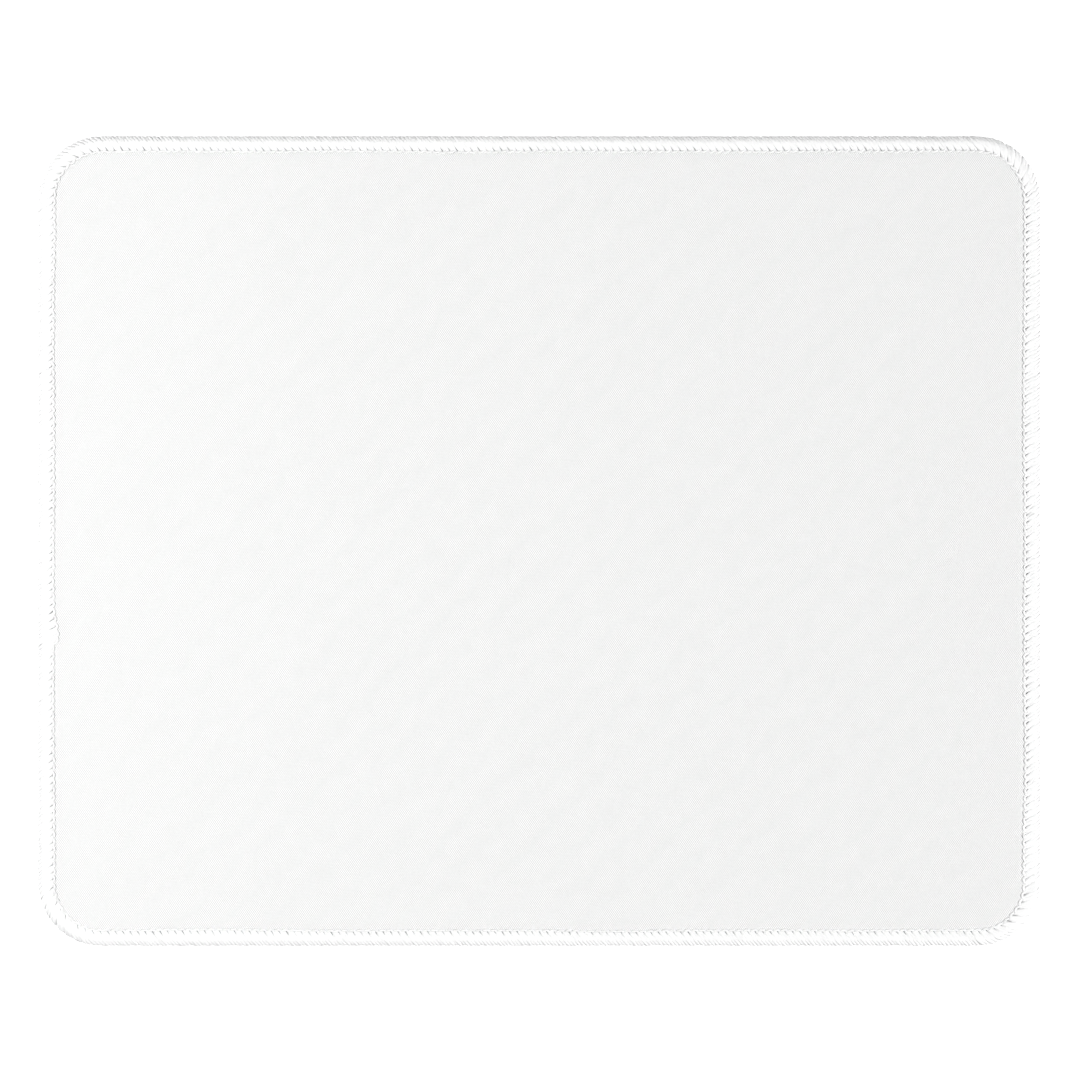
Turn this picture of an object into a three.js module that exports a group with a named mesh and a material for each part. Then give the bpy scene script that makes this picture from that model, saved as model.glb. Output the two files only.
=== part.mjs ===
// Cloth mouse pad with an overlocked edge: a face cloth bonded by a film to a foam-rubber base,
// and a three-thread overlock seam sewn all round, which draws the edge of the sheet thinner.
// Millimetres, +Z up, +X along the width. The origin is the middle of the underside.
import * as THREE from "three";

// The whole pad
const padWidth = 260; // rim to rim, over the edge threads
const padDepth = 210;
const padThickness = 3; // desk to the face of the cloth
const cornerRadius = 16.5; // at the rim

// Layers of the sheet; the base takes the rest of the thickness
const clothThickness = 0.4;
const filmThickness = 0.1;

// How far the seam draws the edge of the sheet in
const clothDip = 0.4; // fall of the face under the seam
const baseDip = 0.5; // rise of the underside over the seam
const dipRun = 0.8; // width of the slope beside the seam

// The seam, measured inwards from the rim
const seamWidth = 4.5; // rim to the needle line
const needleBed = 0.8; // width of the needle thread's bed
const rimThread = 0.5; // thread that covers the cut edge of the sheet
const underSetback = 0.8; // needle line to the inner end of the loops under the edge
const stitchPitch = 1.93; // along the needle line
const strandLean = 30; // degrees that a looper strand leans anticlockwise on its way out

// Needle thread: a row of beads
const beadRise = 0.42; // top of a bead over its bed
const beadWaistRise = 0.24; // top of the thread between two beads
const beadScallop = 0.32; // how far the border draws back between two beads
const beadCrown = 0.1; // from the outer side of the bed in to the top of a bead

// Looper threads: strands from the needle thread to the rim, over and under the edge
const strandRise = 0.4; // top of a strand over the cloth, beside the needle thread
const slitRise = 0.06; // floor of the slit between two strands there
const turnDrop = 0.08; // how far a strand has sunk where it turns round the rim
const turnGap = 0.1; // depth of the gap between two strands at the turn, where they close up
const turnCover = 0.12; // thread between the floor of that gap and the cut edge
const deskClearance = 0.1; // desk to the loops under the edge

// Fineness of the faces
const cornerSteps = 8; // straight steps in a corner
const sideSteps = 4; // steps that a thread's smooth faces take along a side

// Heights of the sheet in the field, and at its drawn-in margin
const clothUnderside = padThickness - clothThickness;
const filmUnderside = clothUnderside - filmThickness;
const marginTop = padThickness - clothDip;
const lockHeight = (marginTop + baseDip) / 2; // halfway up the cut edge
const fieldInset = seamWidth + dipRun;
const needleBedInset = seamWidth - needleBed;
const underInset = seamWidth - underSetback;
const turnGapInset = rimThread - turnCover;
const turnInset = turnGapInset - turnGap;

// The pad's outline, anticlockwise from the right side, moved in from the rim.
function outline(inset) {
  const radius = cornerRadius - inset;
  const centreX = padWidth / 2 - cornerRadius;
  const centreY = padDepth / 2 - cornerRadius;
  const shape = new THREE.Shape();
  shape.absarc(centreX, centreY, radius, 0, Math.PI / 2);
  shape.absarc(-centreX, centreY, radius, Math.PI / 2, Math.PI);
  shape.absarc(-centreX, -centreY, radius, Math.PI, 1.5 * Math.PI);
  shape.absarc(centreX, -centreY, radius, 1.5 * Math.PI, 2 * Math.PI);
  shape.closePath();
  return shape;
}

const needleLine = outline(seamWidth);
const needleLength = needleLine.getLength();
const stitchCount = Math.round(needleLength / stitchPitch);
const lean = Math.tan(THREE.MathUtils.degToRad(strandLean));

// A smooth row of points: the outline at an inset and a height. Each point keeps its place along the
// needle line, as a length, so that rows of different fineness can be joined.
function smoothRow(inset, height, stepsOnASide = 1) {
  const row = { points: [], along: [] };
  let start = 0;
  outline(inset).curves.forEach((curve, index) => {
    const steps = curve.isLineCurve ? stepsOnASide : cornerSteps;
    const length = needleLine.curves[index].getLength();
    curve.getPoints(steps).slice(0, steps).forEach((point, step) => {
      row.points.push(new THREE.Vector3(point.x, point.y, height));
      row.along.push(start + (length * step) / steps);
    });
    start += length;
  });
  return row;
}

// A stitched row of points, with one or more places to a stitch: on a strand or bead, then in the gap
// after it. A row further out than the needle line starts further on, because the strands lean.
function stitchedRow(...places) {
  const row = { points: [], along: [] };
  const leanShift = (seamWidth - places[0].inset) * lean;
  for (let step = 0; step < places.length * stitchCount; step++) {
    const { inset, height } = places[step % places.length];
    const along = (step / places.length / stitchCount) * needleLength + leanShift;
    const turn = THREE.MathUtils.euclideanModulo(along / needleLength, 1);
    const foot = needleLine.getPoint(turn);
    const tangent = needleLine.getTangent(turn);
    const outwards = seamWidth - inset;
    row.points.push(new THREE.Vector3(foot.x + tangent.y * outwards, foot.y - tangent.x * outwards, height));
    row.along.push(along);
  }
  return row;
}

// Triangles between two closed rows. Rows of one fineness pair point by point; otherwise each
// triangle steps on along whichever row lies behind.
function joinRows(first, second, firstStart, secondStart) {
  const triangles = [];
  const firstCount = first.points.length;
  const secondCount = second.points.length;
  const samePace = firstCount === secondCount;
  let i = 0;
  let j = 0;
  while (i < firstCount || j < secondCount) {
    const a = firstStart + (i % firstCount);
    const b = secondStart + (j % secondCount);
    const nextFirst = i + 1 < firstCount ? first.along[i + 1] : first.along[0] + needleLength;
    const nextSecond = j + 1 < secondCount ? second.along[j + 1] : second.along[0] + needleLength;
    const firstBehind = samePace ? i === j : nextFirst <= nextSecond;
    if (i < firstCount && (firstBehind || j === secondCount)) {
      i += 1;
      triangles.push(a, firstStart + (i % firstCount), b);
    } else {
      j += 1;
      triangles.push(a, secondStart + (j % secondCount), b);
    }
  }
  return triangles;
}

// Flat face over a smooth row, looking up or down.
function capRow(row, start, looksUp) {
  const triangles = [];
  for (const [a, b, c] of THREE.ShapeUtils.triangulateShape(row.points, [])) {
    triangles.push(start + a, start + (looksUp ? b : c), start + (looksUp ? c : b));
  }
  return triangles;
}

// A solid from rows listed anticlockwise round its section, with the rim to the right. A ring's last
// row joins its first; a sheet has a flat face over its first and last rows instead.
function solidFromRows(rows, { capped }) {
  const starts = [];
  const positions = [];
  for (const row of rows) {
    starts.push(positions.length / 3);
    for (const point of row.points) positions.push(point.x, point.y, point.z);
  }
  const triangles = [];
  const lastRow = rows.length - 1;
  for (let k = 0; k < (capped ? lastRow : rows.length); k++) {
    const next = (k + 1) % rows.length;
    triangles.push(...joinRows(rows[k], rows[next], starts[k], starts[next]));
  }
  if (capped) {
    triangles.push(...capRow(rows[0], starts[0], false));
    triangles.push(...capRow(rows[lastRow], starts[lastRow], true));
  }
  const geometry = new THREE.BufferGeometry();
  geometry.setAttribute("position", new THREE.Float32BufferAttribute(positions, 3));
  geometry.setIndex(triangles);
  geometry.computeVertexNormals();
  return geometry;
}

function mesh(name, geometry, material) {
  const made = new THREE.Mesh(geometry, new THREE.MeshStandardMaterial({ metalness: 0, ...material }));
  made.name = name;
  return made;
}

// A layer of the sheet: flat in the field, with its two faces moved at the drawn-in margin.
function sheetLayer(underside, marginUnderside, topside, marginTopside) {
  return solidFromRows(
    [
      smoothRow(fieldInset, underside),
      smoothRow(seamWidth, marginUnderside),
      smoothRow(rimThread, marginUnderside),
      smoothRow(rimThread, marginTopside),
      smoothRow(seamWidth, marginTopside),
      smoothRow(fieldInset, topside),
    ],
    { capped: true },
  );
}

function clothTop() {
  return sheetLayer(clothUnderside, clothUnderside - clothDip, padThickness, marginTop);
}

function adhesiveFilm() {
  return sheetLayer(filmUnderside, filmUnderside - clothDip, clothUnderside, clothUnderside - clothDip);
}

function rubberBase() {
  return sheetLayer(0, baseDip, filmUnderside, filmUnderside - clothDip);
}

// Beads on the drawn-down cloth, with a scalloped border against the field.
function needleThread() {
  const crownInset = needleBedInset + beadCrown;
  return solidFromRows(
    [
      stitchedRow(
        { inset: seamWidth, height: marginTop },
        { inset: seamWidth - beadScallop, height: marginTop },
      ),
      smoothRow(needleBedInset, marginTop, sideSteps),
      stitchedRow(
        { inset: crownInset, height: marginTop + beadRise },
        { inset: crownInset, height: marginTop + beadWaistRise },
      ),
    ],
    { capped: false },
  );
}

// The line round the rim where the two looper threads lock into each other, a point to a stitch.
function lockRow() {
  return stitchedRow({ inset: 0, height: lockHeight });
}

// Strands over the face, from the needle thread out and halfway down the cut edge.
function upperLooperThread() {
  const strandHeight = marginTop + strandRise;
  const turnHeight = strandHeight - turnDrop;
  return solidFromRows(
    [
      lockRow(),
      stitchedRow(
        { inset: turnInset, height: turnHeight },
        { inset: turnGapInset, height: turnHeight - turnGap },
      ),
      stitchedRow(
        { inset: needleBedInset, height: strandHeight },
        { inset: needleBedInset, height: marginTop + slitRise },
      ),
      smoothRow(needleBedInset, marginTop, sideSteps),
      smoothRow(rimThread, marginTop, sideSteps),
      smoothRow(rimThread, lockHeight, sideSteps),
    ],
    { capped: false },
  );
}

// Strands under the edge, clear of the desk, and up the cut edge to the upper thread.
function lowerLooperThread() {
  const turnHeight = deskClearance + turnDrop;
  return solidFromRows(
    [
      lockRow(),
      smoothRow(rimThread, lockHeight, sideSteps),
      smoothRow(rimThread, baseDip, sideSteps),
      smoothRow(underInset, baseDip, sideSteps),
      stitchedRow(
        { inset: underInset, height: deskClearance },
        { inset: underInset, height: baseDip - slitRise },
      ),
      stitchedRow(
        { inset: turnInset, height: turnHeight },
        { inset: turnGapInset, height: turnHeight + turnGap },
      ),
    ],
    { capped: false },
  );
}

const whiteThread = { color: 0xfafaf8, roughness: 0.7 };

const sheet = new THREE.Group();
sheet.add(mesh("rubber_base", rubberBase(), { color: 0x1b1b1d, roughness: 0.85 }));
sheet.add(mesh("adhesive_film", adhesiveFilm(), { color: 0xe9e5da, roughness: 0.5 }));
sheet.add(mesh("cloth_top", clothTop(), { color: 0xf1f1f0, roughness: 0.95 }));

const edgeSeam = new THREE.Group();
edgeSeam.add(mesh("needle_thread", needleThread(), whiteThread));
edgeSeam.add(mesh("upper_looper_thread", upperLooperThread(), whiteThread));
edgeSeam.add(mesh("lower_looper_thread", lowerLooperThread(), whiteThread));

const mousePad = new THREE.Group();
mousePad.add(sheet, edgeSeam);

export default mousePad;
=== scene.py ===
"""Looks of a cloth mouse pad with an overlocked edge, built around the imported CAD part.

The face cloth, the bonding film, the foam base and the three sewing threads are modelled here in full.
Sizes of the pad are in millimetres and become metres in the meshes; the floor and the lights are in metres.
"""

import logging
import math
from dataclasses import dataclass, field
from enum import Enum
from typing import Any

import bpy
import numpy as np
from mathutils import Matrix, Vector
from mathutils.geometry import delaunay_2d_cdt


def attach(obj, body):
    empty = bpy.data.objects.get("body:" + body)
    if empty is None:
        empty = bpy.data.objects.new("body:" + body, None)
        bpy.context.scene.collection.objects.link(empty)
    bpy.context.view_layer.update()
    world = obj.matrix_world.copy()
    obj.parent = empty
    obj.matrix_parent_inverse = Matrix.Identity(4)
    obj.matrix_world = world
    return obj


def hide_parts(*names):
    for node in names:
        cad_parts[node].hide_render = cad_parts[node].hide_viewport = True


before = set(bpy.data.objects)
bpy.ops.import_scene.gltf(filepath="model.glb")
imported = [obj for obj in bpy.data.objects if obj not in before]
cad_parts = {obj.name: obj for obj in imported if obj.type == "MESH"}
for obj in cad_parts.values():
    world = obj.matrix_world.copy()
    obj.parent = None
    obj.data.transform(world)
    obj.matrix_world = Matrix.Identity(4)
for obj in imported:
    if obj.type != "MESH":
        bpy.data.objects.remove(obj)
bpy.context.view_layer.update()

LOG = logging.getLogger("mouse_pad")
MM = 0.001
BODY = "root"
BAKE_MAP = "OFBake"
STRAND_VALUES = "strand"
SAME_PLACE = 1e-6

Array = np.ndarray
Socket = bpy.types.NodeSocket
Colour = tuple[float, float, float, float]
Row = tuple[int, np.ndarray, bool]


def smooth_step(value: Array, low: float, high: float) -> Array:
    """Smooth rise from 0 at low to 1 at high.

    Args:
        value: Places to read the rise at.
        low: Place where the rise starts.
        high: Place where it ends.

    Returns:
        The height of the rise at each place.
    """
    t = np.clip((value - low) / (high - low), 0.0, 1.0)
    return t * t * (3.0 - 2.0 * t)


def unit(vectors: Array) -> Array:
    """The vectors at length 1."""
    return vectors / np.linalg.norm(vectors, axis=-1, keepdims=True)


def grey(level: float) -> Colour:
    """A neutral colour."""
    return (level, level, level, 1.0)


def triangulate(places: Array, lines: list[list[int]], count: int) -> Array:
    """Triangles between places in plan, inside the closed row that the first of them make.

    Args:
        places: The places.
        lines: Pairs of places that have to be joined.
        count: How many places the closed row has.

    Returns:
        The triangles' corners, as numbers of places.
    """
    found = delaunay_2d_cdt([Vector(p) for p in places], lines, [list(range(count))], 1, SAME_PLACE)
    origins = np.array([origin[0] for origin in found[3]])
    return origins[np.array(found[2])]


class Face(Enum):
    """The two faces of the sheet that the seam wraps, with the sign of their upward axis."""

    UPPER = 1
    LOWER = -1


class Coordinates(Enum):
    """What a material's pattern follows: the piece as a whole, or each strand."""

    PIECE = "Object"
    STRAND = "Vector"


# Meshes


@dataclass
class MeshParts:
    """Points and faces of one piece, gathered part by part."""

    points: list[Array] = field(default_factory=list)
    faces: list[Array] = field(default_factory=list)
    maps: list[Array] = field(default_factory=list)
    strands: list[Array] = field(default_factory=list)
    count: int = 0

    def add_points(self, points: Array, strands: Array | None = None) -> int:
        """Adds points.

        Args:
            points: Places in millimetres, one row each.
            strands: Length along the strand, share of the way round it and a random number, for each.

        Returns:
            The number of the first new point.
        """
        first = self.count
        self.points.append(points)
        self.strands.append(np.zeros_like(points) if strands is None else strands)
        self.count += len(points)
        return first

    def add_faces(self, faces: Array, places: Array) -> None:
        """Adds faces of one corner count, with each corner's place on the bake map."""
        self.faces.append(faces)
        self.maps.append(places.reshape(-1, 2))

    def piece(self, name: str) -> bpy.types.Object:
        """Makes the object, smooth, with its bake map and strand values.

        Args:
            name: The piece's name.

        Returns:
            The linked object.
        """
        points = np.concatenate(self.points) * MM
        corners = np.concatenate([f.ravel() for f in self.faces])
        sizes = np.concatenate([np.full(len(f), f.shape[1]) for f in self.faces])
        starts = np.concatenate([[0], np.cumsum(sizes)[:-1]])
        mesh = bpy.data.meshes.new(name)
        mesh.vertices.add(len(points))
        mesh.vertices.foreach_set("co", points.astype(np.float32).ravel())
        mesh.loops.add(len(corners))
        mesh.loops.foreach_set("vertex_index", corners.astype(np.int32))
        mesh.polygons.add(len(sizes))
        mesh.polygons.foreach_set("loop_start", starts.astype(np.int32))
        mesh.update(calc_edges=True)
        mesh.shade_smooth()
        bake = mesh.uv_layers.new(name=BAKE_MAP)
        bake.uv.foreach_set("vector", np.concatenate(self.maps).astype(np.float32).ravel())
        strand = mesh.attributes.new(STRAND_VALUES, "FLOAT_VECTOR", "POINT")
        strand.data.foreach_set("vector", np.concatenate(self.strands).astype(np.float32).ravel())
        made = bpy.data.objects.new(name, mesh)
        bpy.context.scene.collection.objects.link(made)
        return made


@dataclass
class Tubes:
    """Many short closed tubes with the same counts of rings and of points to a ring."""

    centres: Array
    ups: Array
    half_widths: Array
    half_heights: Array
    ring: int = 6
    ply_depth: float = 0.0
    plies: int = 3
    ply_turns: float = 1.0
    band_share: float = 0.86
    cap_size: float = 0.4
    cap_places: tuple[float, float] = (0.25, 0.75)

    def build(self, parts: MeshParts, random: Array, cell_from: int, cells: int) -> None:
        """Adds the tubes to a piece.

        Args:
            parts: The piece.
            random: A random number for each tube.
            cell_from: First cell of the bake map that these tubes take.
            cells: Cells on a side of the bake map.
        """
        tubes, rows, _ = self.centres.shape
        runs = unit(np.gradient(self.centres, axis=1))
        sides = unit(np.cross(self.ups, runs))
        ups = np.cross(runs, sides)
        steps = np.arange(self.ring)
        angles = (2.0 * steps + 1.0) / self.ring * math.pi - math.pi / 2.0
        share = np.linspace(0.0, 1.0, rows)
        turned = angles[None, :] - 2.0 * math.pi * self.ply_turns * share[:, None]
        lobes = 1.0 + self.ply_depth * np.cos(self.plies * turned)
        across = self.half_widths[:, :, None] * np.cos(angles) * lobes
        upward = self.half_heights[:, :, None] * np.sin(angles) * lobes
        points = (
            self.centres[:, :, None, :]
            + across[..., None] * sides[:, :, None, :]
            + upward[..., None] * ups[:, :, None, :]
        )
        lengths = np.linalg.norm(np.diff(self.centres, axis=1), axis=-1).cumsum(axis=1)
        lengths = np.pad(lengths, ((0, 0), (1, 0)))
        values = np.empty_like(points)
        values[..., 0] = lengths[:, :, None]
        values[..., 1] = steps / self.ring
        values[..., 2] = random[:, None, None]
        first = parts.add_points(points.reshape(-1, 3), values.reshape(-1, 3))
        base = first + (np.arange(tubes) * rows * self.ring)[:, None, None]
        cell = cell_from + np.arange(tubes)
        corner = np.stack([cell % cells, cell // cells], axis=-1)[:, None, None, :] / cells
        self._add_sides(parts, base, corner, cells)
        self._add_ends(parts, base, corner, cells)

    def _add_sides(self, parts: MeshParts, base: Array, corner: Array, cells: int) -> None:
        """Adds the faces round the tubes.

        Args:
            parts: The piece.
            base: First point of each tube.
            corner: Corner of each tube's cell on the bake map.
            cells: Cells on a side of the bake map.
        """
        rows = self.centres.shape[1]
        row, step = np.meshgrid(np.arange(rows - 1), np.arange(self.ring), indexing="ij")
        following = (step + 1) % self.ring
        quads = np.stack(
            [
                row * self.ring + step,
                row * self.ring + following,
                (row + 1) * self.ring + following,
                (row + 1) * self.ring + step,
            ],
            axis=-1,
        ).reshape(-1, 4)
        along = np.stack([row, row, row + 1, row + 1], axis=-1).reshape(-1, 4) / (rows - 1)
        around = np.stack([step, step + 1, step + 1, step], axis=-1).reshape(-1, 4) / self.ring
        places = np.stack([along, around * self.band_share], axis=-1) / cells
        parts.add_faces((quads[None] + base).reshape(-1, 4), places[None] + corner)

    def _add_ends(self, parts: MeshParts, base: Array, corner: Array, cells: int) -> None:
        """Adds the faces that close the tubes.

        Args:
            parts: The piece.
            base: First point of each tube.
            corner: Corner of each tube's cell on the bake map.
            cells: Cells on a side of the bake map.
        """
        rows = self.centres.shape[1]
        step = np.arange(self.ring)
        ends = np.stack([step[::-1], (rows - 1) * self.ring + step])
        angles = 2.0 * math.pi * step / self.ring
        spare = 1.0 - self.band_share
        middle = self.band_share + 0.5 * spare
        disc = self.cap_size * spare * np.stack([np.cos(angles), np.sin(angles)], axis=-1)
        first, last = self.cap_places
        places = np.stack([disc[::-1] + (first, middle), disc + (last, middle)]) / cells
        parts.add_faces((ends[None] + base).reshape(-1, self.ring), places[None] + corner)


# The outline and the seam's line


@dataclass(frozen=True)
class Outline:
    """The pad's rim: a rectangle with round corners."""

    width: float = 260.0
    depth: float = 210.0
    corner_radius: float = 16.5

    def sections(self, inset: float) -> Array:
        """Lengths of the outline's parts, anticlockwise from the right side's far end.

        Args:
            inset: How far inside the rim the outline is taken.

        Returns:
            The lengths of a corner and a side in turn.
        """
        corner = (self.corner_radius - inset) * math.pi / 2.0
        across = self.width - 2.0 * self.corner_radius
        deep = self.depth - 2.0 * self.corner_radius
        return np.array([corner, across, corner, deep, corner, across, corner, deep])

    def place(self, along: Array, line: float, inset: Array | float) -> tuple[Array, Array]:
        """Places beside a line that runs at an even inset.

        Args:
            along: Lengths along the line.
            line: The line's inset from the rim.
            inset: The places' own insets.

        Returns:
            The places in plan, and the outward direction at each.
        """
        lengths = self.sections(line)
        starts = np.concatenate([[0.0], np.cumsum(lengths)[:-1]])
        turn = np.mod(along, lengths.sum())
        index = np.searchsorted(starts, turn, side="right") - 1
        local = turn - starts[index]
        corner = index % 2 == 0
        radius = self.corner_radius - line
        angle = (index // 2) * math.pi / 2.0 + np.where(corner, local / radius, math.pi / 2.0)
        outward = np.stack([np.cos(angle), np.sin(angle)], axis=-1)
        tangent = np.stack([-outward[..., 1], outward[..., 0]], axis=-1)
        signs = np.array([[1, 1], [-1, 1], [-1, -1], [1, -1]])[index // 2]
        half = np.array([self.width, self.depth]) / 2.0 - self.corner_radius
        reach = (self.corner_radius - np.asarray(inset))[..., None] * outward
        slide = np.where(corner, 0.0, local)[..., None] * tangent
        return signs * half + reach + slide, outward

    def spot(self, plan: Array) -> Array:
        """Places in plan as shares of the outline's width, from 0 to 1."""
        return (plan + np.array([self.width, self.depth]) / 2.0) / self.width

    def depth_inside(self, plan: Array) -> Array:
        """How far places lie inside the rim.

        Args:
            plan: The places in plan.

        Returns:
            The distance of each from the rim.
        """
        half = np.array([self.width, self.depth]) / 2.0 - self.corner_radius
        past = np.abs(plan) - half
        outside = np.linalg.norm(np.maximum(past, 0.0), axis=-1)
        return self.corner_radius - outside - np.minimum(past.max(axis=-1), 0.0)

    def area(self, inset: float) -> float:
        """Area inside the outline.

        Args:
            inset: How far inside the rim the outline is taken.

        Returns:
            The area in square millimetres.
        """
        radius = self.corner_radius - inset
        rectangle = (self.width - 2.0 * inset) * (self.depth - 2.0 * inset)
        return rectangle - (4.0 - math.pi) * radius * radius


@dataclass
class Seam:
    """The overlock seam's line: where each stitch lies, and how it strays."""

    outline: Outline = field(default_factory=Outline)
    width: float = 4.5
    pitch: float = 1.93
    lean: float = 31.0
    stray_along: float = 0.01
    stray_across: float = 0.035
    wander: float = 0.035
    wander_stitches: int = 25
    closing_stitches: int = 40
    bead_edge: float = 4.5
    scallop: float = 0.46
    slant: float = 0.2
    lap_start: float = 369.5
    lap_peak: float = 378.5
    lap_end: float = 380.8
    lap_drift: float = 1.15
    seed: int = 11
    junctions: Array = field(init=False)
    strays: Array = field(init=False)

    def __post_init__(self) -> None:
        """Draws where the needle went in at each stitch; the last stitches close up with the first."""
        draw = np.random.default_rng(self.seed)
        even = np.arange(self.count) * self.step
        self.junctions = even + draw.normal(0.0, self.stray_along, self.count)
        window = np.hanning(self.wander_stitches)
        slow = np.convolve(draw.normal(0.0, 1.0, self.count + len(window) - 1), window, "valid")
        closing = smooth_step(np.arange(self.count), self.count - self.closing_stitches, self.count)
        slow += closing * (slow[0] - slow[-1])
        self.strays = self.wander * slow + draw.normal(0.0, self.stray_across, self.count)

    @property
    def length(self) -> float:
        """Length of the needle line."""
        return float(self.outline.sections(self.width).sum())

    @property
    def count(self) -> int:
        """Stitches in the seam."""
        return round(self.length / self.pitch)

    @property
    def step(self) -> float:
        """Length of a stitch."""
        return self.length / self.count

    def drift(self, along: Array) -> Array:
        """How far the needle line strays inwards, most where the seam's end laps its start.

        Args:
            along: Lengths along the needle line.

        Returns:
            The stray at each.
        """
        turn = np.mod(along, self.length)
        rise = smooth_step(turn, self.lap_start, self.lap_peak)
        fall = 1.0 - smooth_step(turn, self.lap_peak, self.lap_end)
        period = np.concatenate([self.junctions, [self.junctions[0] + self.length]])
        strays = np.concatenate([self.strays, self.strays[:1]])
        return self.lap_drift * rise * fall + np.interp(turn, period, strays, period=self.length)

    def phase(self, along: Array) -> Array:
        """Share of the way from one needle hole to the next.

        Args:
            along: Lengths along the needle line.

        Returns:
            The share at each.
        """
        turn = np.mod(along, self.length)
        before, after = self.junctions[-1:] - self.length, self.junctions[:1] + self.length
        ends = np.concatenate([before, self.junctions, after])
        return np.mod(np.interp(turn, ends, np.arange(-1.0, self.count + 1.0)), 1.0)

    def border(self, along: Array) -> Array:
        """The needle thread's scalloped border against the cloth.

        Args:
            along: Lengths along the needle line.

        Returns:
            The border's inset at each.
        """
        phase = self.phase(along)
        scallop = self.scallop * (np.sin(math.pi * phase) - 1.0) + self.slant * (phase - 0.5)
        return self.bead_edge + self.drift(along) + scallop

    def place(self, along: Array, inset: Array | float, height: Array | float) -> Array:
        """Places in space beside the needle line.

        Args:
            along: Lengths along the needle line.
            inset: Insets from the rim.
            height: Heights over the desk.

        Returns:
            The places.
        """
        plan, _ = self.outline.place(along, self.width, inset)
        level = np.broadcast_to(np.asarray(height, float), plan.shape[:-1])
        return np.concatenate([plan, level[..., None]], axis=-1)

    def fan(self, along: Array, inset: Array | float) -> Array:
        """How much further apart two stitches lie at an inset than on the needle line.

        Args:
            along: Lengths along the needle line.
            inset: The inset from the rim.

        Returns:
            The ratio, which is 1 along the sides.
        """
        lengths = self.outline.sections(self.width)
        starts = np.concatenate([[0.0], np.cumsum(lengths)[:-1]])
        index = np.searchsorted(starts, np.mod(along, self.length), side="right") - 1
        radius = self.outline.corner_radius - self.width
        return np.where(index % 2 == 0, 1.0 + (self.width - np.asarray(inset)) / radius, 1.0)


# Shader nodes


class Nodes:
    """Places and joins the nodes of one tree."""

    def __init__(self, tree: bpy.types.NodeTree) -> None:
        """Starts with an empty tree."""
        self.tree = tree
        tree.nodes.clear()

    def add(self, kind: str, inputs: dict[str | int, Any] | None = None, **settings: Any) -> bpy.types.Node:
        """Adds a node.

        Args:
            kind: The node's type name, without its prefix.
            inputs: Values or sockets for its inputs.
            settings: Properties of the node.

        Returns:
            The node.
        """
        node = self.tree.nodes.new(kind if kind.startswith("NodeGroup") else "ShaderNode" + kind)
        for name, value in settings.items():
            setattr(node, name, value)
        for name, value in (inputs or {}).items():
            if isinstance(value, Socket):
                self.tree.links.new(value, node.inputs[name])
            else:
                node.inputs[name].default_value = value
        return node

    def math(self, operation: str, first: Any, second: Any = 0.0, third: Any = 0.0) -> Socket:
        """Adds a math node and returns its result."""
        node = self.add("Math", {0: first, 1: second, 2: third}, operation=operation)
        return node.outputs[0]

    def mix(self, share: Any, first: Any, second: Any) -> Socket:
        """Adds a colour mix and returns its result."""
        node = self.add("Mix", {0: share, 6: first, 7: second}, data_type="RGBA")
        return node.outputs[2]

    def noise(self, place: Socket, scale: Any, detail: float, roughness: float = 0.5) -> bpy.types.Node:
        """Adds a noise texture."""
        values = {"Vector": place, "Scale": scale, "Detail": detail, "Roughness": roughness}
        return self.add("TexNoise", values)

    def group(self, tree: bpy.types.NodeTree, inputs: dict[str | int, Any]) -> bpy.types.Node:
        """Places a node group with its own values."""
        return self.add("Group", inputs, node_tree=tree)

    def give(self, out: bpy.types.Node, results: dict[str, Socket]) -> bpy.types.NodeTree:
        """Joins a group's results to its output node.

        Args:
            out: The output node.
            results: The result for each output.

        Returns:
            The group.
        """
        for label, result in results.items():
            self.tree.links.new(result, out.inputs[label])
        return self.tree


def new_group(name: str, inputs: dict[str, float | None], outputs: list[str]) -> tuple[Nodes, Any, Any]:
    """Starts a shader node group.

    Args:
        name: The group's name.
        inputs: Its inputs with their usual values; None makes a vector.
        outputs: Its outputs, all single values.

    Returns:
        The group's nodes, its input node and its output node.
    """
    tree = bpy.data.node_groups.new(name, "ShaderNodeTree")
    for label, value in inputs.items():
        kind = "NodeSocketVector" if value is None else "NodeSocketFloat"
        socket = tree.interface.new_socket(name=label, in_out="INPUT", socket_type=kind)
        if value is not None:
            socket.default_value = value
    for label in outputs:
        tree.interface.new_socket(name=label, in_out="OUTPUT", socket_type="NodeSocketFloat")
    nodes = Nodes(tree)
    return nodes, nodes.add("NodeGroupInput"), nodes.add("NodeGroupOutput")


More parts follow.
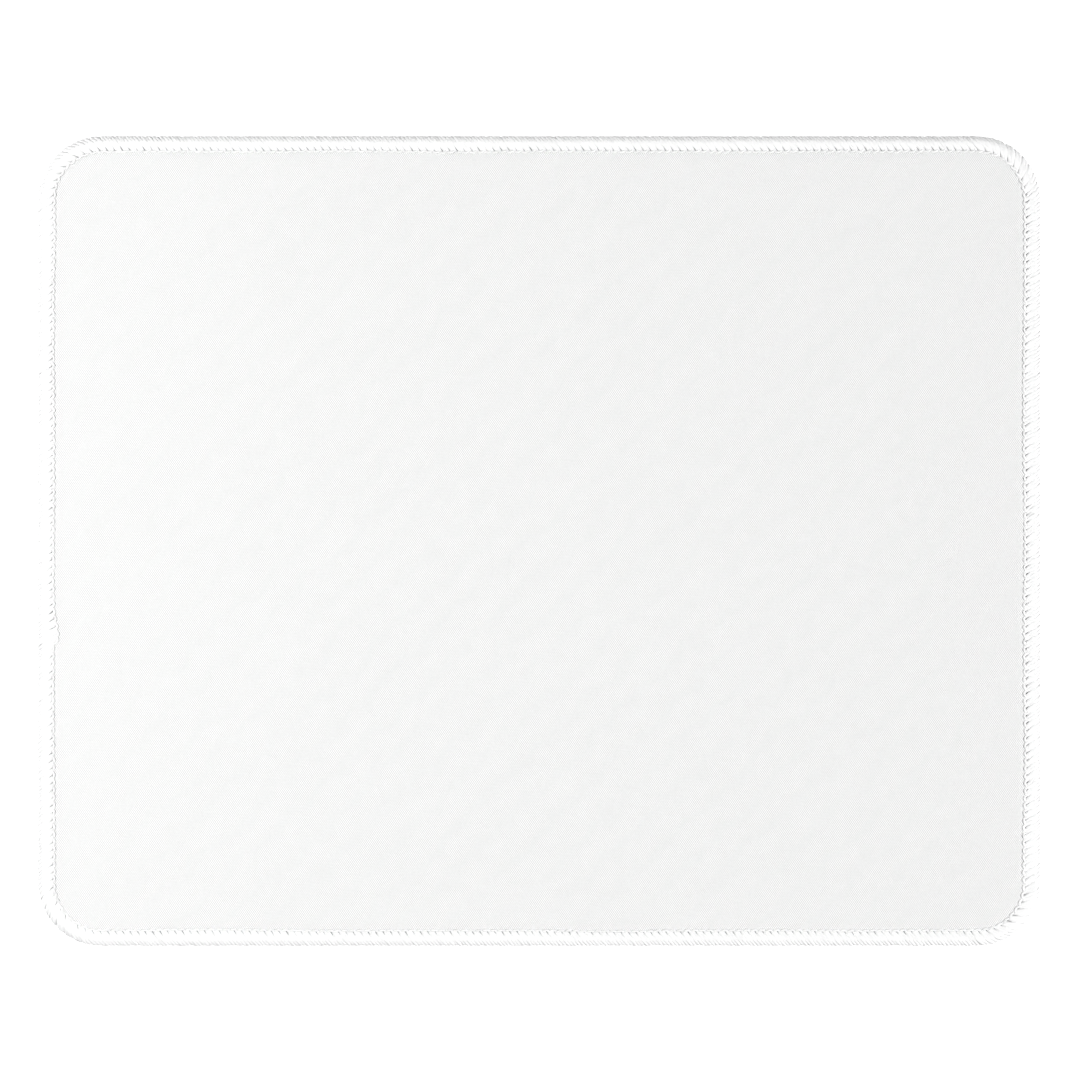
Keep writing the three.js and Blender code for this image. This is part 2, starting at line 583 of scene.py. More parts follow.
@dataclass
class Effects:
    """The node groups that the finishes share."""

    yarn_stray: float = 0.3 * MM
    yarn_stray_scale: float = 180.0
    yarn_patch_scale: float = 2600.0
    fibre_stretch: tuple[float, float, float] = (0.8, 3.0, 40.0)
    fibre_scale: float = 2.2
    ply_height: float = 0.25
    # painted shade in the grooves between plies, as a share of the thread's colour range
    ply_painted_shade: float = 0.2
    speck_edge: float = 40.0
    grain: bpy.types.NodeTree = field(init=False)
    weave: bpy.types.NodeTree = field(init=False)
    twist: bpy.types.NodeTree = field(init=False)
    lint: bpy.types.NodeTree = field(init=False)

    def __post_init__(self) -> None:
        """Builds each group once."""
        self.grain = self._grain()
        self.weave = self._weave()
        self.twist = self._twist()
        self.lint = self._lint()

    def _grain(self) -> bpy.types.NodeTree:
        """Fine irregular grain with slow blotches.

        Returns:
            The group, with Shade and Height, each about 0.5.
        """
        nodes, given, out = new_group(
            "fine_grain",
            {"Vector": None, "Grain Size": 0.4, "Blotch Size": 12.0, "Blotch Share": 0.4},
            ["Shade", "Height"],
        )
        place = given.outputs["Vector"]
        fine_scale = nodes.math("DIVIDE", 1.0 / MM, given.outputs["Grain Size"])
        fine = nodes.noise(place, fine_scale, detail=3.0, roughness=0.6).outputs[0]
        slow_scale = nodes.math("DIVIDE", 1.0 / MM, given.outputs["Blotch Size"])
        slow = nodes.noise(place, slow_scale, detail=2.0).outputs[0]
        mixed = nodes.add("Mix", {0: given.outputs["Blotch Share"], 2: fine, 3: slow}, data_type="FLOAT")
        return nodes.give(out, {"Shade": mixed.outputs[0], "Height": fine})

    def _weave(self) -> bpy.types.NodeTree:
        """Crossing yarns in staggered rows.

        Returns:
            The group, with Height and Shade from 0 between the yarns to 1 on them; as a colour, Shade is
            painted shade in the gaps between the yarns, with random unevenness.
        """
        nodes, given, out = new_group(
            "woven_yarns",
            {"Vector": None, "Pitch Across": 0.53, "Pitch Along": 0.77, "Turn": -1.35, "Unevenness": 0.25},
            ["Height", "Shade"],
        )
        place = given.outputs["Vector"]
        wander = nodes.noise(place, self.yarn_stray_scale, detail=1.0)
        half = (0.5, 0.5, 0.5)
        shift = nodes.add("VectorMath", {0: wander.outputs["Color"], 1: half}, operation="SUBTRACT")
        reach = (self.yarn_stray, self.yarn_stray, 0.0)
        strayed = nodes.add("VectorMath", {0: shift.outputs[0], 1: reach, 2: place}, operation="MULTIPLY_ADD")
        angle = nodes.math("RADIANS", given.outputs["Turn"])
        turn = {"Vector": strayed.outputs[0], "Angle": angle}
        turned = nodes.add("VectorRotate", turn, rotation_type="Z_AXIS")
        parts = nodes.add("SeparateXYZ", {0: turned.outputs[0]})
        yarns = []
        for axis, pitch in enumerate(("Pitch Across", "Pitch Along")):
            turns = nodes.math("MULTIPLY", parts.outputs[axis], 2.0 * math.pi / MM)
            yarns.append(nodes.math("COSINE", nodes.math("DIVIDE", turns, given.outputs[pitch])))
        # the lattice is dark in the gaps between yarns; as a colour it is painted shade
        lattice = nodes.math("MULTIPLY_ADD", nodes.math("MULTIPLY", *yarns), 0.5, 0.5)
        patchy = nodes.noise(place, self.yarn_patch_scale, detail=2.0).outputs[0]
        loose = nodes.math("MULTIPLY", nodes.math("SUBTRACT", patchy, 0.5), given.outputs["Unevenness"])
        return nodes.give(out, {"Height": lattice, "Shade": nodes.math("ADD", loose, lattice)})

    def _twist(self) -> bpy.types.NodeTree:
        """Twisted plies and loose fibres along a strand.

        Returns:
            The group, with Height and Shade; Shade follows the plies' relief, painted shade in the grooves
            between plies, plus random fibre tone.
        """
        nodes, given, out = new_group(
            "twisted_fibres",
            {"Vector": None, "Plies": 4.0, "Turns": 0.55, "Fuzz": 0.5},
            ["Height", "Shade"],
        )
        along, around, strand = nodes.add("SeparateXYZ", {0: given.outputs["Vector"]}).outputs
        round_it = nodes.math("MULTIPLY", around, given.outputs["Plies"])
        helix = nodes.math("MULTIPLY_ADD", along, given.outputs["Turns"], round_it)
        ply = nodes.math("COSINE", nodes.math("MULTIPLY", helix, 2.0 * math.pi))
        lines = zip((along, helix, strand), self.fibre_stretch)
        parts = {axis: nodes.math("MULTIPLY", *line) for axis, line in enumerate(lines)}
        stretched = nodes.add("CombineXYZ", parts)
        fibre = nodes.noise(stretched.outputs[0], self.fibre_scale, detail=3.0).outputs[0]
        loose = nodes.math("MULTIPLY", fibre, given.outputs["Fuzz"])
        height = nodes.math("MULTIPLY_ADD", ply, self.ply_height, loose)
        # painted shade: colour darker in the grooves between plies, with random fibre tone
        shade = nodes.math("MULTIPLY_ADD", ply, self.ply_painted_shade, fibre)
        return nodes.give(out, {"Height": height, "Shade": shade})

    def _lint(self) -> bpy.types.NodeTree:
        """Sparse specks of dust.

        Returns:
            The group, with a Mask that is 1 on a speck.
        """
        nodes, given, out = new_group(
            "dust_specks", {"Vector": None, "Spacing": 6.0, "Speck Size": 0.05}, ["Mask"]
        )
        scale = nodes.math("DIVIDE", 1.0 / MM, given.outputs["Spacing"])
        cells = nodes.add("TexVoronoi", {"Vector": given.outputs["Vector"], "Scale": scale})
        inside = nodes.math("SUBTRACT", given.outputs["Speck Size"], cells.outputs["Distance"])
        mask = nodes.add("Math", {0: inside, 1: self.speck_edge}, operation="MULTIPLY", use_clamp=True)
        return nodes.give(out, {"Mask": mask.outputs[0]})


# Finishes


@dataclass(frozen=True)
class Finish:
    """A surface's colour range and gloss; each kind of finish adds its own pattern."""

    name: str
    dark: Colour
    light: Colour
    roughness: float = 0.85
    sheen: float = 0.0
    relief: float = 0.03
    coordinates: Coordinates = Coordinates.PIECE
    specular: float = 0.25
    gloss_range: float = 0.12

    def material(self, effects: Effects) -> bpy.types.Material:
        """Makes the material.

        Args:
            effects: The shared node groups.

        Returns:
            The material.
        """
        made = bpy.data.materials.new(self.name)
        made.use_nodes = True
        nodes = Nodes(made.node_tree)
        if self.coordinates is Coordinates.STRAND:
            source = nodes.add("Attribute", attribute_name=STRAND_VALUES)
        else:
            source = nodes.add("TexCoord")
        colour, rough, height = self.pattern(nodes, effects, source.outputs[self.coordinates.value])
        bump = nodes.add("Bump", {"Height": height, "Strength": 1.0, "Distance": self.relief * MM})
        shader = nodes.add(
            "BsdfPrincipled",
            {
                "Base Color": colour,
                "Roughness": rough,
                "Normal": bump.outputs[0],
                "Sheen Weight": self.sheen,
                "Specular IOR Level": self.specular,
            },
        )
        nodes.add("OutputMaterial", {0: shader.outputs[0]})
        return made

    def pattern(self, nodes: Nodes, effects: Effects, place: Socket) -> tuple[Socket, Socket, Socket]:
        """The pattern over the surface: here a fine grain.

        Args:
            nodes: The material's nodes.
            effects: The shared node groups.
            place: The coordinates that the pattern follows.

        Returns:
            Colour, roughness and height.
        """
        grain = nodes.group(effects.grain, {"Vector": place})
        colour = nodes.mix(grain.outputs["Shade"], self.dark, self.light)
        return colour, self.gloss(nodes, grain.outputs["Shade"]), grain.outputs["Height"]

    def gloss(self, nodes: Nodes, shade: Socket) -> Socket:
        """Roughness that follows a pattern a little."""
        return nodes.math("MULTIPLY_ADD", shade, self.gloss_range, self.roughness - 0.5 * self.gloss_range)


@dataclass(frozen=True)
class ClothFinish(Finish):
    """Matt white woven polyester."""

    pitch_across: float = 0.53
    pitch_along: float = 0.77
    grain_size: float = 0.35
    blotch_size: float = 9.0
    blotch_share: float = 0.12
    cover_range: float = 0.1
    fuzz: float = 0.15
    # painted shade: the cloth's colour darkens where it lies low in the seam, deepest at the lower of these
    # two heights
    painted_shade_deepest_at: float = 2.6
    painted_shade_clear_at: float = 2.84
    painted_shade_tone: float = 0.62

    def pattern(self, nodes: Nodes, effects: Effects, place: Socket) -> tuple[Socket, Socket, Socket]:
        """Yarn colour with painted shade in the gaps between the yarns, and relief, softened by fuzz.

        Painted shade darkens the colour where the cloth lies low in the seam, most at the lowest heights.

        Args:
            nodes: The material's nodes.
            effects: The shared node groups.
            place: The coordinates that the pattern follows.

        Returns:
            Colour, roughness and height.
        """
        weave = nodes.group(
            effects.weave,
            {"Vector": place, "Pitch Across": self.pitch_across, "Pitch Along": self.pitch_along},
        )
        grain = nodes.group(
            effects.grain,
            {
                "Vector": place,
                "Grain Size": self.grain_size,
                "Blotch Size": self.blotch_size,
                "Blotch Share": self.blotch_share,
            },
        )
        # painted shade: the weave's lattice darkens the colour in the gaps between the yarns
        yarns = nodes.mix(weave.outputs["Shade"], self.dark, self.light)
        even = 1.0 - 0.5 * self.cover_range
        grain_and_painted_shade = nodes.math("MULTIPLY_ADD", grain.outputs["Shade"], self.cover_range, even)
        # painted shade: the colour grows darker with the cloth's height low in the seam, in its ditch, slits
        # and holes
        level = nodes.add("SeparateXYZ", {0: place})
        painted_shade = nodes.add(
            "MapRange",
            {
                "Value": level.outputs[2],
                "From Min": self.painted_shade_deepest_at * MM,
                "From Max": self.painted_shade_clear_at * MM,
                "To Min": self.painted_shade_tone,
                "To Max": 1.0,
            },
            interpolation_type="SMOOTHSTEP",
        )
        grain_and_painted_shade = nodes.math("MULTIPLY", grain_and_painted_shade, painted_shade.outputs[0])
        tone = nodes.add("CombineColor", {0: grain_and_painted_shade, 1: grain_and_painted_shade, 2: grain_and_painted_shade})
        layers = {0: 1.0, 6: yarns, 7: tone.outputs[0]}
        colour = nodes.add("Mix", layers, data_type="RGBA", blend_type="MULTIPLY")
        height = nodes.math("MULTIPLY_ADD", grain.outputs["Height"], self.fuzz, weave.outputs["Height"])
        return colour.outputs[2], self.gloss(nodes, weave.outputs["Shade"]), height


@dataclass(frozen=True)
class ThreadFinish(Finish):
    """Soft white textured thread of a few twisted plies."""

    plies: float = 4.0
    turns: float = 0.3

    def pattern(self, nodes: Nodes, effects: Effects, place: Socket) -> tuple[Socket, Socket, Socket]:
        """Ply and fibre lines along the strand: painted shade in the grooves between plies, and random fibre
        tone.

        Args:
            nodes: The material's nodes.
            effects: The shared node groups.
            place: The coordinates that the pattern follows.

        Returns:
            Colour, roughness and height.
        """
        twist = nodes.group(effects.twist, {"Vector": place, "Plies": self.plies, "Turns": self.turns})
        colour = nodes.mix(twist.outputs["Shade"], self.dark, self.light)
        return colour, self.gloss(nodes, twist.outputs["Shade"]), twist.outputs["Height"]


@dataclass(frozen=True)
class RubberFinish(Finish):
    """Matt foamed rubber with a skin of fine pores and a little dust."""

    dust: Colour = (0.16, 0.15, 0.14, 1.0)
    pore_size: float = 0.25
    blotch_size: float = 18.0
    speck_spacing: float = 4.0
    speck_size: float = 0.045

    def pattern(self, nodes: Nodes, effects: Effects, place: Socket) -> tuple[Socket, Socket, Socket]:
        """Pores and blotches, with specks of dust.

        Args:
            nodes: The material's nodes.
            effects: The shared node groups.
            place: The coordinates that the pattern follows.

        Returns:
            Colour, roughness and height.
        """
        pores = {"Grain Size": self.pore_size, "Blotch Size": self.blotch_size}
        grain = nodes.group(effects.grain, {"Vector": place, **pores})
        dots = {"Spacing": self.speck_spacing, "Speck Size": self.speck_size}
        specks = nodes.group(effects.lint, {"Vector": place, **dots})
        skin = nodes.mix(grain.outputs["Shade"], self.dark, self.light)
        colour = nodes.mix(specks.outputs["Mask"], skin, self.dust)
        return colour, self.gloss(nodes, grain.outputs["Shade"]), grain.outputs["Height"]


@dataclass(frozen=True)
class FilmFinish(Finish):
    """Milky hot-melt film that took the print of the weave."""

    unevenness: float = 0.4
    grain_size: float = 0.8
    blotch_share: float = 0.7

    def pattern(self, nodes: Nodes, effects: Effects, place: Socket) -> tuple[Socket, Socket, Socket]:
        """Weave print over slow blotches.

        Args:
            nodes: The material's nodes.
            effects: The shared node groups.
            place: The coordinates that the pattern follows.

        Returns:
            Colour, roughness and height.
        """
        weave = nodes.group(effects.weave, {"Vector": place, "Unevenness": self.unevenness})
        sizes = {"Grain Size": self.grain_size, "Blotch Share": self.blotch_share}
        grain = nodes.group(effects.grain, {"Vector": place, **sizes})
        colour = nodes.mix(grain.outputs["Shade"], self.dark, self.light)
        return colour, self.gloss(nodes, weave.outputs["Shade"]), weave.outputs["Height"]


# The sheet


@dataclass(frozen=True)
class SheetSection:
    """Heights of the layers from the field to the cut edge, which the seam draws to a blunt wedge."""

    top: float = 3.0
    cloth: float = 0.4
    film: float = 0.1
    cloth_dip: float = 0.56
    base_dip: float = 0.5
    slope_from: float = 4.5
    slope_to: float = 5.3
    middle: float = 1.55
    wedge_from: float = 1.9
    wedge_run: float = 1.5
    wedge_power: float = 1.3
    edge_share: float = 0.5

    def left(self, inset: Array | float) -> Array:
        """Share of the thickness that is left at an inset."""
        past = np.clip((self.wedge_from - np.asarray(inset)) / self.wedge_run, 0.0, 1.0)
        return (1.0 - past**self.wedge_power) ** (1.0 / self.wedge_power)

    def thinned(self, inset: Array | float) -> Array:
        """Share of the cloth's and the film's thickness at an inset."""
        return self.edge_share + (1.0 - self.edge_share) * self.left(inset)

    def field(self, inset: Array | float) -> Array:
        """Share of the way from the margin to the field."""
        return smooth_step(np.asarray(inset), self.slope_from, self.slope_to)

    def margin_top(self, inset: Array | float) -> Array:
        """Height of the cloth under the seam."""
        return self.middle + (self.top - self.cloth_dip - self.middle) * self.left(inset)

    def cloth_under(self, inset: Array | float) -> Array:
        """Height of the cloth's underside."""
        drawn = self.cloth_dip * self.field(inset)
        return self.margin_top(inset) - self.cloth * self.thinned(inset) + drawn

    def film_under(self, inset: Array | float) -> Array:
        """Height of the film's underside."""
        return self.cloth_under(inset) - self.film * self.thinned(inset)

    def base_under(self, inset: Array | float) -> Array:
        """Height of the base's underside."""
        margin = self.middle - (self.middle - self.base_dip) * self.left(inset)
        return margin * (1.0 - self.field(inset))


@dataclass
class Piece:
    """A piece of the pad, with the CAD node that it stands for and its material slot."""

    seam: Seam
    node: str = ""
    slot: str = ""

    def build(self) -> bpy.types.Object:
        """Makes the piece.

        Returns:
            The piece.
        """
        raise NotImplementedError

    def dress(self, piece: bpy.types.Object, finish: Finish, effects: Effects) -> None:
        """Gives the piece its finish and its place on the part.

        Args:
            piece: The piece.
            finish: Its finish.
            effects: The shared node groups.
        """
        piece.data.materials.append(finish.material(effects))
        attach(piece, BODY)
        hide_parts(self.node)

    def make(self, finish: Finish, effects: Effects) -> bpy.types.Object:
        """Makes and dresses the piece.

        Args:
            finish: Its finish.
            effects: The shared node groups.

        Returns:
            The dressed piece.
        """
        piece = self.build()
        self.dress(piece, finish, effects)
        return piece


@dataclass
class SheetLayer(Piece):
    """A layer of the sheet: a closed thin mesh with a fine border along the seam."""

    section: SheetSection = field(default_factory=SheetSection)
    columns_per_stitch: int = 4
    hidden_scale: float = 0.18
    hidden_place: float = 0.835
    map_margin: float = 0.01
    edge_spread: float = 0.25
    wedge_insets: tuple[float, ...] = (0.62, 0.8, 1.1, 1.5, 1.9)

    @property
    def alongs(self) -> Array:
        """Lengths along the needle line of the border's columns."""
        count = self.seam.count * self.columns_per_stitch
        return np.arange(count) * self.seam.length / count

    def map_places(self, plan: Array, shown: bool) -> Array:
        """Places on the bake map: the shown face large, the hidden one small beside it.

        Args:
            plan: Places in plan.
            shown: Whether they belong to the face that shows.

        Returns:
            Their places on the map.
        """
        spot = self.seam.outline.spot(plan)
        if shown:
            return self.map_margin + spot * (1.0 - 2.0 * self.map_margin)
        return spot * self.hidden_scale + (self.map_margin, self.hidden_place)

    def rolled(self, inset: float) -> Array:
        """How far the bake map spreads a row outwards, to leave room for the rolled edge."""
        return self.edge_spread * (1.0 - self.section.left(inset))

    def row(
        self, parts: MeshParts, inset: Array | float, height: Array | float, shown: bool, spread: float = 0.0
    ) -> Row:
        """Adds a row of points round the sheet.

        Args:
            parts: The piece.
            inset: The row's inset from the rim.
            height: Its height.
            shown: Whether it belongs to the face that shows.
            spread: How far its place on the bake map lies outside its place in plan.

        Returns:
            The number of its first point, its places for the bake map and whether it shows.
        """
        points = self.seam.place(self.alongs, inset, height)
        plan, _ = self.seam.outline.place(self.alongs, self.seam.width, inset - spread)
        return parts.add_points(points), plan, shown

    def join(self, parts: MeshParts, rows: list[Row]) -> None:
        """Adds the faces between rows.

        Args:
            parts: The piece.
            rows: The rows, from the field's underside out, round the edge and back.
        """
        count = len(self.alongs)
        step = np.arange(count)
        following = (step + 1) % count
        for before, after in zip(rows, rows[1:]):
            one, two = before[0], after[0]
            quads = np.stack([one + step, one + following, two + following, two + step], axis=-1)
            first, second = (self.map_places(r[1], before[2] and after[2]) for r in (before, after))
            corners = np.stack([first[step], first[following], second[following], second[step]], axis=1)
            parts.add_faces(quads, corners)

    def fill(self, parts: MeshParts, row: Row, up: bool, inner: Array, heights: Array) -> None:
        """Fills a closed row with triangles.

        Args:
            parts: The piece.
            row: The row.
            up: Whether the triangles look up.
            inner: More places inside the row, in plan.
            heights: Their heights.
        """
        first, plan, shown = row
        count = len(plan)
        spots = np.concatenate([plan, inner])
        triangles = triangulate(spots, [], count)
        start = parts.add_points(np.concatenate([inner, heights[:, None]], axis=-1))
        points = np.where(triangles < count, triangles + first, triangles - count + start)
        corners = self.map_places(spots, shown)[triangles]
        if not up:
            points, corners = points[:, ::-1], corners[:, ::-1]
        parts.add_faces(points, corners)

    def lattice_places(self, clear: float, step: float) -> Array:
        """Square lattice of places that keeps clear of the rim.

        Args:
            clear: The least distance from the rim.
            step: The distance between two places.

        Returns:
            The places in plan.
        """
        outline = self.seam.outline
        halves = (outline.width / 2.0 - clear, outline.depth / 2.0 - clear)
        x, y = (np.arange(-half, half + SAME_PLACE, step) for half in halves)
        plan = np.stack(np.meshgrid(x, y), axis=-1).reshape(-1, 2)
        return plan[outline.depth_inside(plan) > clear]


@dataclass
class FaceCloth(SheetLayer):
    """The woven face: flat, drawn down along the seam and rolled over at the cut edge."""

    columns_per_stitch: int = 8
    shoulder: float = 0.13
    shoulder_run: float = 1.3
    ditch_beside: float = 0.2
    ditch_across: float = 0.07
    ditch_from: float = 0.1
    ditch_to: float = 0.16
    drop_from: float = -0.3
    drop_to: float = -0.03
    seat_inset: float = 3.0
    shoulder_row: float = 0.32
    field_shares: tuple[float, ...] = (0.2, 0.45, 0.7, 1.0)
    field_inset: float = 7.2
    lattice: float = 3.0
    lattice_clear: float = 0.6
    hidden_every: int = 7
    lie: float = 0.02
    lie_lengths: tuple[float, float, float] = (19.0, 23.0, 31.0)
    lie_shift: float = 0.6
    lie_slant: float = 0.5
    lie_full: float = 40.0
    cut_inset: float = 0.5
    node: str = "cloth_top"
    slot: str = "face_cloth"

    def top_height(self, beyond: Array) -> Array:
        """Height of the face beyond the needle thread's border: a soft shoulder, a ditch, then the margin.

        The needle thread bites deeper along the two sides than along the near and far edges.

        Args:
            beyond: Distance inwards from the border, at each column.

        Returns:
            The heights.
        """
        _, outward = self.seam.outline.place(self.alongs, self.seam.width, 0.0)
        deep = self.ditch_across + (self.ditch_beside - self.ditch_across) * outward[:, 0] ** 2
        shoulder = self.shoulder * (1.0 - smooth_step(beyond, self.ditch_to, self.shoulder_run))
        ditch = deep * (1.0 - smooth_step(beyond, self.ditch_from, self.ditch_to))
        rest = self.section.cloth_dip - self.shoulder - deep
        drop = rest * (1.0 - smooth_step(beyond, self.drop_from, self.drop_to))
        return self.section.top - shoulder - ditch - drop

    def seam_insets(self) -> list[Array]:
        """The face's rows by the seam, from the scalloped border to the even field.

        Returns:
            The inset of each row at each column.
        """
        border = self.seam.border(self.alongs)
        near = (self.drop_from, self.drop_to, self.ditch_from, self.ditch_to, self.shoulder_row)
        last = border + near[-1]
        room = self.field_inset - last
        return [border + beyond for beyond in near] + [last + share * room for share in self.field_shares]

    def build(self) -> bpy.types.Object:
        """Makes the piece.

        Returns:
            The piece.
        """
        parts = MeshParts()
        section = self.section
        border = self.seam.border(self.alongs)
        rows = [
            self.row(parts, inset, section.cloth_under(inset), False)
            for inset in (self.field_inset, section.slope_to, section.slope_from, *self.wedge_insets[::-1])
        ]
        for inset in self.wedge_insets:
            rows.append(self.row(parts, inset, section.margin_top(inset), True, self.rolled(inset)))
        rows.append(self.row(parts, self.seat_inset, section.margin_top(self.seat_inset), True))
        for insets in self.seam_insets():
            rows.append(self.row(parts, insets, self.top_height(insets - border), True))
        self.join(parts, rows)
        places = self.lattice_places(self.field_inset + self.lattice_clear * self.lattice, self.lattice)
        hidden = places[:: self.hidden_every]
        self.fill(parts, rows[0], False, hidden, np.full(len(hidden), section.cloth_under(self.field_inset)))
        self.fill(parts, rows[-1], True, places, section.top + self.waves(places))
        return parts.piece("face_cloth")

    def waves(self, plan: Array) -> Array:
        """The slight lie of the flat face, which fades towards the seam.

        Args:
            plan: Places in plan.

        Returns:
            How far each lies over or under the flat face.
        """
        x, y = plan[:, 0], plan[:, 1]
        across, deep, slanted = self.lie_lengths
        wave = np.sin(x / across + self.lie_shift) * np.cos(y / deep)
        wave = wave + self.lie_slant * np.sin((x + y) / slanted)
        inside = self.seam.outline.depth_inside(plan)
        return self.lie * wave * smooth_step(inside, self.field_inset, self.lie_full)

    def declare(
        self, piece: bpy.types.Object, threads: list[bpy.types.Object], film: bpy.types.Object
    ) -> None:
        """Works out the area of the cloth's cut outline and does nothing with it.

        Args:
            piece: Not used.
            threads: Not used.
            film: Not used.
        """
        outline = self.seam.outline
        cut = self.cut_inset
        outline.area(cut) * MM * MM


@dataclass
class BondingFilm(SheetLayer):
    """The hot-melt film between cloth and base."""

    columns_per_stitch: int = 1
    node: str = "adhesive_film"
    slot: str = "bonding_film"

    def build(self) -> bpy.types.Object:
        """Makes the piece.

        Returns:
            The piece.
        """
        parts = MeshParts()
        section = self.section
        insets = (*self.wedge_insets, section.slope_from, section.slope_to)
        rows = [self.row(parts, inset, section.film_under(inset), False) for inset in insets[::-1]]
        rows += [self.row(parts, inset, section.cloth_under(inset), True) for inset in insets]
        self.join(parts, rows)
        none = np.zeros((0, 2))
        self.fill(parts, rows[0], False, none, np.zeros(0))
        self.fill(parts, rows[-1], True, none, np.zeros(0))
        return parts.piece("bonding_film")


@dataclass
class FoamBase(SheetLayer):
    """The foam-rubber base, with an anti-slip relief of small pyramids underneath."""

    relief: float = 0.14
    relief_step: float = 1.0
    relief_margin: float = 0.35
    relief_clear: float = 0.8
    bend_inset: float = 4.9
    tuck_inset: float = 4.1
    columns_per_stitch: int = 2
    node: str = "rubber_base"
    slot: str = "foam_rubber"

    def build(self) -> bpy.types.Object:
        """Makes the piece.

        Returns:
            The piece.
        """
        parts = MeshParts()
        section = self.section
        slope = (section.slope_to, self.bend_inset, section.slope_from, self.tuck_inset)
        under = (section.slope_to + self.relief_margin, *slope, *self.wedge_insets[::-1])
        over = (*self.wedge_insets, section.slope_from, section.slope_to)
        rows = []
        for inset in under:
            rows.append(self.row(parts, inset, section.base_under(inset), True, self.rolled(inset)))
        rows += [self.row(parts, inset, section.film_under(inset), False) for inset in over]
        self.join(parts, rows)
        self.fill(parts, rows[-1], True, np.zeros((0, 2)), np.zeros(0))
        self.add_relief(parts, rows[0])
        return parts.piece("foam_base")

    def add_relief(self, parts: MeshParts, row: Row) -> None:
        """Adds the underside's field of small pyramids.

        Args:
            parts: The piece.
            row: The smooth row round the field.
        """
        outline = self.seam.outline
        step = self.relief_step
        clear = self.section.slope_to + self.relief_margin + self.relief_clear * step
        half_cells = np.floor((np.array([outline.width, outline.depth]) / 2.0 - clear) / step).astype(int)
        i, j = np.meshgrid(*(np.arange(-half, half + 1) for half in half_cells), indexing="ij")
        spots = np.stack([i, j], axis=-1) * step
        inside = outline.depth_inside(spots) >= clear
        whole = inside[:-1, :-1] & inside[1:, :-1] & inside[1:, 1:] & inside[:-1, 1:]
        used = np.zeros(inside.shape, bool)
        for di, dj in ((0, 0), (1, 0), (1, 1), (0, 1)):
            used[di : di + whole.shape[0], dj : dj + whole.shape[1]] |= whole
        number = np.full(inside.shape, -1)
        number[used] = np.arange(used.sum())
        heights = np.where((i + j) % 2 == 0, 0.0, self.relief)
        start = parts.add_points(np.concatenate([spots[used], heights[used][:, None]], axis=-1))
        a, b = number[:-1, :-1][whole], number[1:, :-1][whole]
        c, d = number[1:, 1:][whole], number[:-1, 1:][whole]
        even = ((i + j)[:-1, :-1][whole] % 2 == 0)[:, None]
        one = np.where(even, np.stack([a, c, b], -1), np.stack([a, d, b], -1))
        two = np.where(even, np.stack([a, d, c], -1), np.stack([b, d, c], -1))
        cells = np.concatenate([one, two])
        parts.add_faces(cells + start, self.map_places(spots[used], True)[cells])
        self._join_relief(parts, row, start, number, whole)

    def _join_relief(self, parts: MeshParts, row: Row, start: int, number: Array, whole: Array) -> None:
        """Joins the stepped edge of the relief to the smooth row round it.

        Args:
            parts: The piece.
            row: The smooth row.
            start: First point of the relief.
            number: Number of each lattice point in the relief.
            whole: Which cells of the lattice the relief fills.
        """
        first, plan, _ = row
        padded = np.pad(whole, 1)
        middle = (np.array(number.shape) - 1) // 2
        lines: list[tuple[int, int]] = []
        for i, j in zip(*np.nonzero(whole)):
            sides = (
                (padded[i, j + 1], (i, j), (i, j + 1)),
                (padded[i + 2, j + 1], (i + 1, j), (i + 1, j + 1)),
                (padded[i + 1, j], (i, j), (i + 1, j)),
                (padded[i + 1, j + 2], (i, j + 1), (i + 1, j + 1)),
            )
            lines += [(number[one], number[two]) for beside, one, two in sides if not beside]
        order = np.unique(np.array(lines))
        count = len(plan)
        local = count + np.searchsorted(order, np.array(lines))
        lattice = np.argwhere(number >= 0)[order] - middle
        places = np.concatenate([plan, lattice * self.relief_step])
        triangles = triangulate(places, local.tolist(), count)
        cell = np.floor(places[triangles].mean(axis=1) / self.relief_step).astype(int) + middle
        within = ((cell >= 0) & (cell < whole.shape)).all(axis=1)
        safe = np.clip(cell, 0, np.array(whole.shape) - 1)
        triangles = triangles[~(within & whole[safe[:, 0], safe[:, 1]])]
        joined = np.concatenate([first + np.arange(count), start + order])
        corners = self.map_places(places, True)[triangles]
        parts.add_faces(joined[triangles][:, ::-1], corners[:, ::-1])

    def declare(self, piece: bpy.types.Object) -> None:
        """Takes the piece and does nothing with it."""


# The sewing threads


@dataclass
class Thread(Piece):
    """A thread of the seam, made of many short tubes."""

    slot: str = "edge_thread"
    name: str = ""
    seed: int = 0

    def place_up(self, along: Array, radial: Array, upright: Array) -> Array:
        """Directions given by their outward and upward shares.

        Args:
            along: Lengths along the needle line.
            radial: The outward share at each.
            upright: The upward share at each.

        Returns:
            The directions.
        """
        _, outward = self.seam.outline.place(along, self.seam.width, 0.0)
        flat = outward * radial[..., None]
        return np.concatenate([flat, np.broadcast_to(upright, radial.shape)[..., None]], axis=-1)


